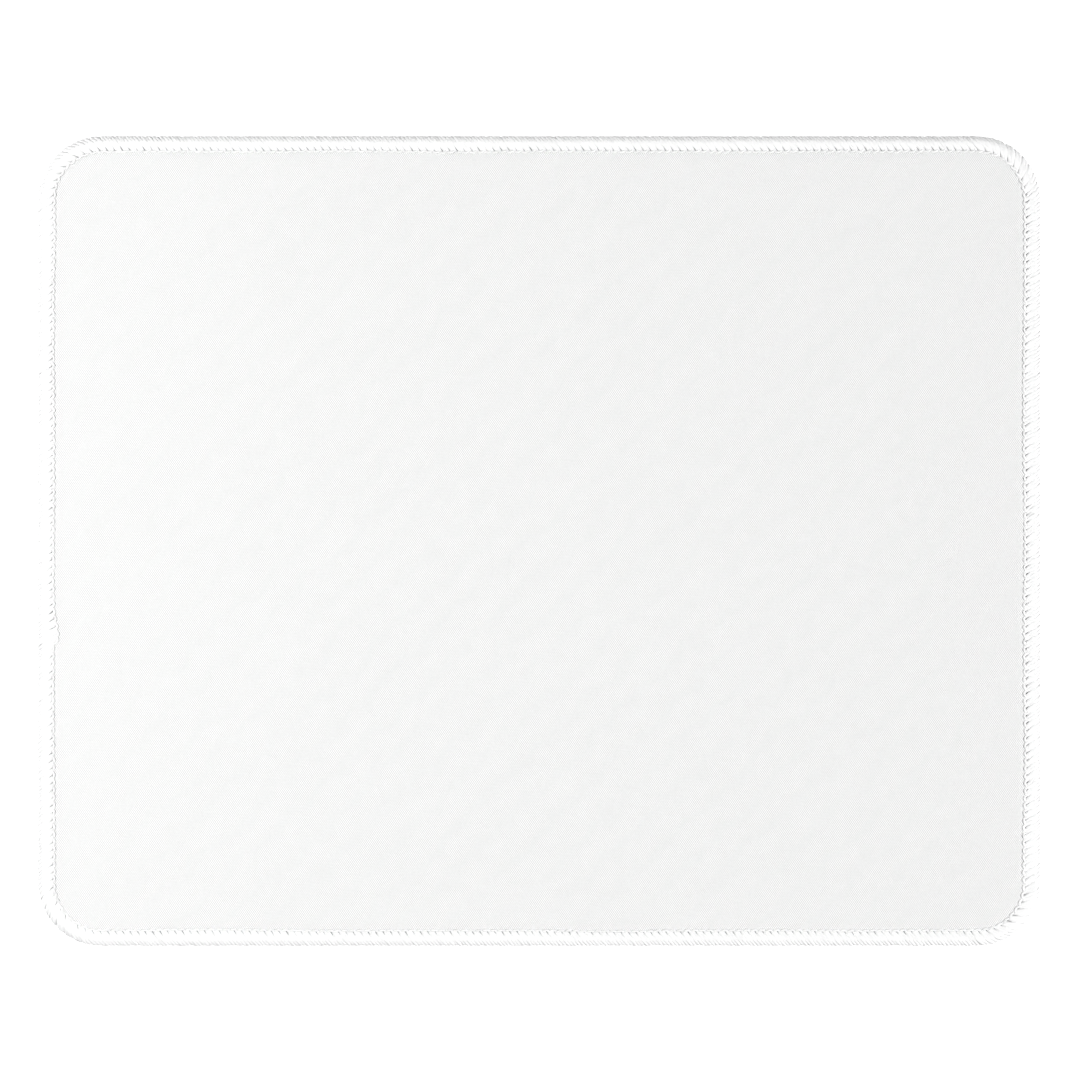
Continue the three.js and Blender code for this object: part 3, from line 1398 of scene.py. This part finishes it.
@dataclass
class NeedleThread(Thread):
    """Stitches along the inside of the seam: a bead above for each, and a small loop below."""

    rings: int = 12
    ring: int = 12
    bed: float = 2.6
    rise: float = 0.23
    half_width: float = 0.33
    half_height: float = 0.24
    end_width: float = 0.55
    end_height: float = 0.5
    end_power: float = 0.45
    end_drop: float = 0.2
    gap: float = 0.03
    bow: float = 0.4
    uneven_size: float = 0.06
    uneven_rise: float = 0.012
    ply_depth: float = 0.07
    ply_turns: float = 0.4
    loop_rings: int = 6
    loop_inset: float = 4.3
    loop_reach: float = 0.75
    loop_run: float = 0.25
    loop_bed: float = 0.5
    loop_sag: float = 0.2
    loop_half_width: float = 0.17
    loop_stray: float = 0.03

    def build(self) -> bpy.types.Object:
        """Makes the piece.

        Returns:
            The piece.
        """
        draw = np.random.default_rng(self.seed)
        parts = MeshParts()
        count = self.seam.count
        cells = math.ceil(math.sqrt(2 * count))
        self.add_beads(parts, draw, cells)
        self.add_loops(parts, draw, count, cells)
        return parts.piece(self.name)

    def add_beads(self, parts: MeshParts, draw: np.random.Generator, cells: int) -> None:
        """Adds the stitches above, each bowed towards the cloth and sunk at both ends.

        Args:
            parts: The piece.
            draw: The thread's random numbers.
            cells: Cells on a side of the bake map.
        """
        seam = self.seam
        count = seam.count
        share = np.linspace(0.0, 1.0, self.rings)[None, :]
        arch = np.sin(math.pi * share)
        start = seam.junctions[:, None] + self.gap
        span = np.roll(seam.junctions, -1)[:, None] - seam.junctions[:, None]
        span = np.where(span < 0.0, span + seam.length, span) - 2.0 * self.gap
        along = start + span * share
        size = 1.0 + draw.normal(0.0, self.uneven_size, (count, 1))
        base = seam.bead_edge - self.bow - self.half_width
        inset = base + seam.drift(along) + self.bow * arch + seam.slant * (share - 0.5)
        swell = np.clip(arch, 0.0, 1.0) ** self.end_power
        lift = self.rise + draw.normal(0.0, self.uneven_rise, (count, 1))
        centres = seam.place(along, inset, self.bed + lift - self.end_drop * (1.0 - swell))
        beads = Tubes(
            centres,
            np.broadcast_to((0.0, 0.0, 1.0), centres.shape),
            self.half_width * size * (self.end_width + (1.0 - self.end_width) * swell),
            self.half_height * size * (self.end_height + (1.0 - self.end_height) * swell),
            ring=self.ring,
            ply_depth=self.ply_depth,
            ply_turns=self.ply_turns,
        )
        beads.build(parts, draw.random(count), 0, cells)

    def add_loops(self, parts: MeshParts, draw: np.random.Generator, count: int, cells: int) -> None:
        """Adds the small loops that show underneath, one at each needle hole.

        Args:
            parts: The piece.
            draw: The thread's random numbers.
            count: How many loops there are, and the first cell that they take.
            cells: Cells on a side of the bake map.
        """
        seam = self.seam
        share = np.linspace(0.0, 1.0, self.loop_rings)[None, :]
        arch = np.sin(math.pi * share)
        along = seam.junctions[:, None] + self.loop_run * (share - 0.5)
        stray = draw.normal(0.0, self.loop_stray, (count, 1))
        inset = self.loop_inset - self.loop_reach * share + seam.drift(along) + stray
        centres = seam.place(along, inset, self.loop_bed - self.loop_sag * arch)
        thick = np.full((count, self.loop_rings), self.loop_half_width)
        loops = Tubes(centres, np.broadcast_to((0.0, 0.0, -1.0), centres.shape), thick, thick)
        loops.build(parts, draw.random(count), count, cells)


@dataclass
class LooperThread(Thread):
    """Strands from the needle thread round half of the rim, one out and one back in each stitch."""

    face: Face = Face.UPPER
    strands: int = 2
    ring: int = 8
    middle: float = SheetSection.middle
    rise: float = 1.3
    sink_insets: tuple[float, ...] = (4.12, 3.88, 3.4, 2.9, 2.2)
    sinks: tuple[float, ...] = (0.34, 0.25, 0.19, 0.13, 0.03)
    rim_from: float = 1.65
    rim_power: float = 1.3
    half_width: float = 0.6
    half_height: float = 0.2
    rim_half_width: float = 0.48
    rim_half_height: float = 0.27
    rim_past: float = 0.08
    rim_angles: tuple[float, ...] = (76.0, 58.0, 42.0, 27.0, 12.0)
    end_tuck: float = 0.05
    end_drop: float = 0.22
    dive_share: float = 0.3
    tip_sizes: tuple[float, float] = (0.9, 0.75)
    turn_from: float = 2.2
    turn_to: float = 0.9
    gathered: float = 0.58
    gathered_width: float = 0.88
    lap_cover: float = 0.62
    lap_from: float = 0.1
    lap_to: float = 0.45
    left_cover: float = 0.18
    spread_from: float = 3.1
    spread_to: float = 2.62
    shift_from: float = 1.5
    shift_to: float = 2.9
    fan_spread: float = -0.35
    fan_width: float = 0.8
    lean_wander: float = 0.4
    lean_stitches: int = 9
    uneven_lean: float = 0.3
    uneven_size: float = 0.015
    stray: float = 0.03
    stray_run: tuple[float, float] = (0.6, 2.5)
    stray_depth: float = 0.04
    stray_lift: float = 0.025
    lift_run: tuple[float, float] = (0.4, 1.2)
    knots: bool = True
    knot_rings: int = 5
    knot_share: float = 0.34
    knot_half_width: float = 0.34
    knot_half_height: float = 0.2
    knot_inset: float = 0.13
    knot_tuck: float = 0.12
    knot_tilt: float = 0.16
    knot_blunt: float = 0.1
    knot_stray: tuple[float, float, float] = (0.02, 0.04, 0.06)

    def profile(self) -> Array:
        """A strand's middle line in section, from the needle out.

        Returns:
            Its insets from the rim, and its heights over the middle of the rim.
        """
        run = [(inset, self.rise - sink) for inset, sink in zip(self.sink_insets, self.sinks)]
        angles = np.radians(self.rim_angles)
        power = 2.0 / self.rim_power
        reach = self.rim_from - self.rim_half_height + self.rim_past
        out = self.rim_from - reach * np.cos(angles) ** power
        turn = np.stack([out, self.rise * np.sin(angles) ** power], axis=-1)
        end = [(self.rim_half_height - self.rim_past + self.end_tuck, -self.end_drop)]
        return np.concatenate([run, turn, end])

    def slide(self, profile: Array) -> Array:
        """Lengths that a strand leans over, which grow less where it dives down the rim."""
        out, down = np.abs(np.diff(profile, axis=0)).T
        return np.pad((out + self.dive_share * down).cumsum(), (1, 0))

    def build(self) -> bpy.types.Object:
        """Makes the piece.

        Returns:
            The piece.
        """
        draw = np.random.default_rng(self.seed)
        parts = MeshParts()
        tubes = self.seam.count * self.strands
        cells = math.ceil(math.sqrt(tubes + self.seam.count))
        self.add_strands(parts, draw, cells)
        if self.knots:
            self.add_knots(parts, draw, tubes, cells)
        return parts.piece(self.name)

    def add_strands(self, parts: MeshParts, draw: np.random.Generator, cells: int) -> None:
        """Adds the strands, gathered at the needle holes and spread side by side at the rim.

        Args:
            parts: The piece.
            draw: The thread's random numbers.
            cells: Cells on a side of the bake map.
        """
        seam = self.seam
        count = seam.count
        profile = self.profile()
        inset, level = profile[:, 0], profile[:, 1]
        run = self.slide(profile)
        window = np.hanning(self.lean_stitches)
        slow = np.convolve(draw.normal(0.0, 1.0, count + len(window) - 1), window, "valid")
        angle = seam.lean + self.lean_wander * slow + draw.normal(0.0, self.uneven_lean, count)
        lean = np.tan(np.radians(angle))[:, None, None]
        opened = 1.0 - smooth_step(inset, self.spread_to, self.spread_from)
        turned = 1.0 - smooth_step(inset, self.turn_to, self.turn_from)
        drift = seam.drift(seam.junctions)[:, None, None]
        _, outward = seam.outline.place(seam.junctions, seam.width, 0.0)
        slack = self.left_cover * np.clip(-outward[:, 0], 0.0, 1.0)[:, None, None]
        lapped = self.lap_cover * smooth_step(drift / seam.lap_drift, self.lap_from, self.lap_to)
        opened = np.maximum(opened, np.maximum(slack, lapped))
        shift = drift * smooth_step(inset, self.shift_from, self.shift_to)
        line = seam.junctions[:, None, None] + lean * run
        fan = seam.fan(line, inset)
        number = np.arange(self.strands) - (self.strands - 1) / 2.0
        seat = (number / self.strands * seam.step)[None, :, None]
        spread = (self.gathered + (1.0 - self.gathered) * opened) * fan**self.fan_spread
        each = (count, self.strands, 1)
        stray = draw.normal(0.0, self.stray, each) * smooth_step(run, *self.stray_run)
        along = line + seat * spread + stray
        depth = draw.normal(0.0, self.stray_depth, each) * turned
        places = inset + shift + depth
        lift = draw.normal(0.0, self.stray_lift, each) * smooth_step(run, *self.lift_run)
        height = self.middle + self.face.value * (level + lift)
        centres = seam.place(along, places, height)
        normal = unit(-np.gradient(profile, axis=0)[:, ::-1])
        ups = self.place_up(along, np.broadcast_to(normal[:, 0], along.shape), normal[:, 1] * self.face.value)
        narrow = self.gathered_width + (1.0 - self.gathered_width) * opened
        half_width = self.half_width + (self.rim_half_width - self.half_width) * turned
        half_width = half_width * narrow * fan**self.fan_width
        half_height = self.half_height + (self.rim_half_height - self.half_height) * turned
        size = 1.0 + draw.normal(0.0, self.uneven_size, each)
        rows = len(inset)
        tip = np.ones(rows)
        tip[0], tip[-1] = self.tip_sizes
        tubes = Tubes(
            centres.reshape(-1, rows, 3),
            ups.reshape(-1, rows, 3),
            (half_width * size * tip).reshape(-1, rows),
            (half_height * size * tip).reshape(-1, rows),
            ring=self.ring,
        )
        tubes.build(parts, draw.random(count * self.strands), 0, cells)

    def add_knots(self, parts: MeshParts, draw: np.random.Generator, first: int, cells: int) -> None:
        """Adds the knots on the rim where the two looper threads lock into each other.

        Args:
            parts: The piece.
            draw: The thread's random numbers.
            first: First cell of the bake map that the knots take.
            cells: Cells on a side of the bake map.
        """
        seam = self.seam
        count = seam.count
        share = np.linspace(-1.0, 1.0, self.knot_rings)[None, :]
        lean = math.tan(math.radians(seam.lean))
        run = self.slide(self.profile())[-1]
        along = seam.junctions[:, None] + lean * run + self.knot_share * seam.step * share
        swell = np.sqrt(np.clip(1.0 - share**2, self.knot_blunt, 1.0))
        depth, lift, size = (draw.normal(0.0, stray, (count, 1)) for stray in self.knot_stray)
        inset = self.knot_inset + depth + self.knot_tuck * (1.0 - swell)
        centres = seam.place(along, inset, self.middle + self.knot_tilt * share + lift)
        ups = self.place_up(along, np.ones_like(along), np.zeros_like(along))
        swell = swell * (1.0 + size)
        knots = Tubes(centres, ups, self.knot_half_width * swell, self.knot_half_height * swell)
        knots.build(parts, draw.random(count), first, cells)


# Floor, light and camera


@dataclass(frozen=True)
class Softbox:
    """A rectangular soft light."""

    name: str
    place: tuple[float, float, float]
    aim: tuple[float, float, float]
    size: tuple[float, float]
    power: float

    def build(self) -> None:
        """Hangs the light."""
        light = bpy.data.lights.new(self.name, "AREA")
        light.shape = "RECTANGLE"
        light.size, light.size_y = self.size
        light.energy = self.power
        lamp = bpy.data.objects.new(self.name, light)
        lamp.location = self.place
        lamp.rotation_mode = "QUATERNION"
        lamp.rotation_quaternion = (Vector(self.aim) - Vector(self.place)).to_track_quat("-Z", "Y")
        lamp.visible_camera = False
        bpy.context.scene.collection.objects.link(lamp)


@dataclass(frozen=True)
class FloorFinish:
    """Plain white paper that looks a little brighter than it lights the pad, as when cut out."""

    light: Colour = grey(0.7)
    dark: Colour = grey(0.68)
    glow: float = 0.8
    roughness: float = 0.9
    specular: float = 0.1
    grain_size: float = 2.0
    blotch_size: float = 300.0

    def material(self, effects: Effects) -> bpy.types.Material:
        """Makes the material, which is clear from below and lets the light under the floor through.

        Args:
            effects: The shared node groups.

        Returns:
            The material.
        """
        made = bpy.data.materials.new("floor_paper")
        made.use_nodes = True
        nodes = Nodes(made.node_tree)
        place = nodes.add("TexCoord").outputs["Object"]
        sizes = {"Grain Size": self.grain_size, "Blotch Size": self.blotch_size}
        grain = nodes.group(effects.grain, {"Vector": place, **sizes})
        paper = nodes.add(
            "BsdfPrincipled",
            {
                "Base Color": nodes.mix(grain.outputs["Shade"], self.dark, self.light),
                "Roughness": self.roughness,
                "Specular IOR Level": self.specular,
            },
        )
        glow = nodes.add("Emission", {0: grey(1.0), 1: self.glow})
        lit = nodes.add("AddShader", {0: paper.outputs[0], 1: glow.outputs[0]})
        ray = nodes.add("LightPath")
        to_eye = ray.outputs["Is Camera Ray"]
        seen = nodes.add("MixShader", {0: to_eye, 1: paper.outputs[0], 2: lit.outputs[0]})
        clear = nodes.add("BsdfTransparent")
        behind = nodes.add("NewGeometry")
        open_to = nodes.math("MAXIMUM", behind.outputs["Backfacing"], ray.outputs["Is Shadow Ray"])
        both = nodes.add("MixShader", {0: open_to, 1: seen.outputs[0], 2: clear.outputs[0]})
        nodes.add("OutputMaterial", {0: both.outputs[0]})
        return made


@dataclass
class Studio:
    """White floor, soft lights and a camera straight above the pad, as in the photograph."""

    frame_width: float = 279.9
    camera_height: float = 1500.0
    sensor: float = 36.0
    pad_top: float = 3.0
    aim: tuple[float, float] = (0.2, 0.26)
    far_clip: float = 50.0
    floor_half: float = 6.0
    sky: float = 0.05
    softboxes: tuple[Softbox, ...] = (
        Softbox("left_softbox", (-0.6, 0.0, 0.35), (-0.05, 0.0, 0.0), (0.26, 0.7), 2.95),
        Softbox("right_softbox", (1.8, -0.56, 1.13), (0.05, 0.0, 0.0), (1.14, 1.39), 56.5),
        Softbox("far_softbox", (-1.47, 0.69, 1.63), (0.0, 0.0, 0.0), (1.2, 1.2), 26.0),
        Softbox("under_softbox", (0.45, 0.0, -0.8), (0.0, 0.0, 0.0), (0.3, 0.5), 7.0),
    )

    def build(self, effects: Effects) -> None:
        """Makes the floor, the lights, the sky and the camera.

        Args:
            effects: The shared node groups.
        """
        self._floor(effects)
        for softbox in self.softboxes:
            softbox.build()
        scene = bpy.context.scene
        scene.world = bpy.data.worlds.new("studio_sky")
        scene.world.use_nodes = True
        nodes = Nodes(scene.world.node_tree)
        sky = nodes.add("Background", {0: grey(1.0), 1: self.sky})
        nodes.add("OutputWorld", {0: sky.outputs[0]})
        scene.view_settings.view_transform = "Standard"
        scene.view_settings.look = "None"
        self._camera()

    def _floor(self, effects: Effects) -> None:
        """Lays the floor under the pad.

        Args:
            effects: The shared node groups.
        """
        side = self.floor_half
        mesh = bpy.data.meshes.new("floor")
        corners = [(-side, -side, 0.0), (side, -side, 0.0), (side, side, 0.0), (-side, side, 0.0)]
        mesh.from_pydata(corners, [], [(0, 1, 2, 3)])
        mesh.materials.append(FloorFinish().material(effects))
        floor = bpy.data.objects.new("floor", mesh)
        bpy.context.scene.collection.objects.link(floor)

    def _camera(self) -> None:
        """Sets the camera over the middle of the pad, with the far side up in the picture."""
        lens = bpy.data.cameras.new("camera")
        lens.sensor_width = self.sensor
        lens.lens = self.sensor * self.camera_height / self.frame_width
        lens.clip_end = self.far_clip
        camera = bpy.data.objects.new("camera", lens)
        camera.location = (self.aim[0] * MM, self.aim[1] * MM, (self.camera_height + self.pad_top) * MM)
        bpy.context.scene.collection.objects.link(camera)
        bpy.context.scene.camera = camera


def main() -> None:
    """Builds, dresses and reports the pad's pieces, then the studio round them."""
    logging.basicConfig(level=logging.INFO, format="%(name)s: %(message)s")
    effects = Effects()
    seam = Seam()

    black_rubber = RubberFinish("foam_rubber", grey(0.01), grey(0.026), roughness=0.55, relief=0.05)
    base = FoamBase(seam)
    base_piece = base.make(black_rubber, effects)
    base.declare(base_piece)

    milky_film = FilmFinish("bonding_film", (0.74, 0.72, 0.64, 1.0), (0.84, 0.82, 0.75, 1.0), roughness=0.5)
    film_piece = BondingFilm(seam).make(milky_film, effects)

    # the range from dark to light holds painted shade between the yarns and low in the seam
    white_cloth = ClothFinish("face_cloth", grey(0.59), grey(0.95), roughness=0.9, sheen=0.1, relief=0.05)
    cloth = FaceCloth(seam)
    cloth_piece = cloth.make(white_cloth, effects)

    # the range from dark to light holds painted shade in the grooves between plies
    white_thread = ThreadFinish(
        "white_thread",
        grey(0.86),
        grey(0.91),
        roughness=0.8,
        sheen=0.1,
        relief=0.1,
        coordinates=Coordinates.STRAND,
    )
    threads = [
        NeedleThread(seam, "needle_thread", name="needle_stitches", seed=21),
        LooperThread(seam, "upper_looper_thread", name="upper_looper_strands", seed=22),
        LooperThread(
            seam, "lower_looper_thread", name="lower_looper_strands", seed=23, face=Face.LOWER, knots=False
        ),
    ]
    sewn = [thread.make(white_thread, effects) for thread in threads]
    cloth.declare(cloth_piece, sewn, film_piece)

    for piece in (base_piece, film_piece, cloth_piece, *sewn):
        LOG.info("%s: %d faces", piece.name, len(piece.data.polygons))

    Studio().build(effects)


if __name__ == "__main__":
    main()
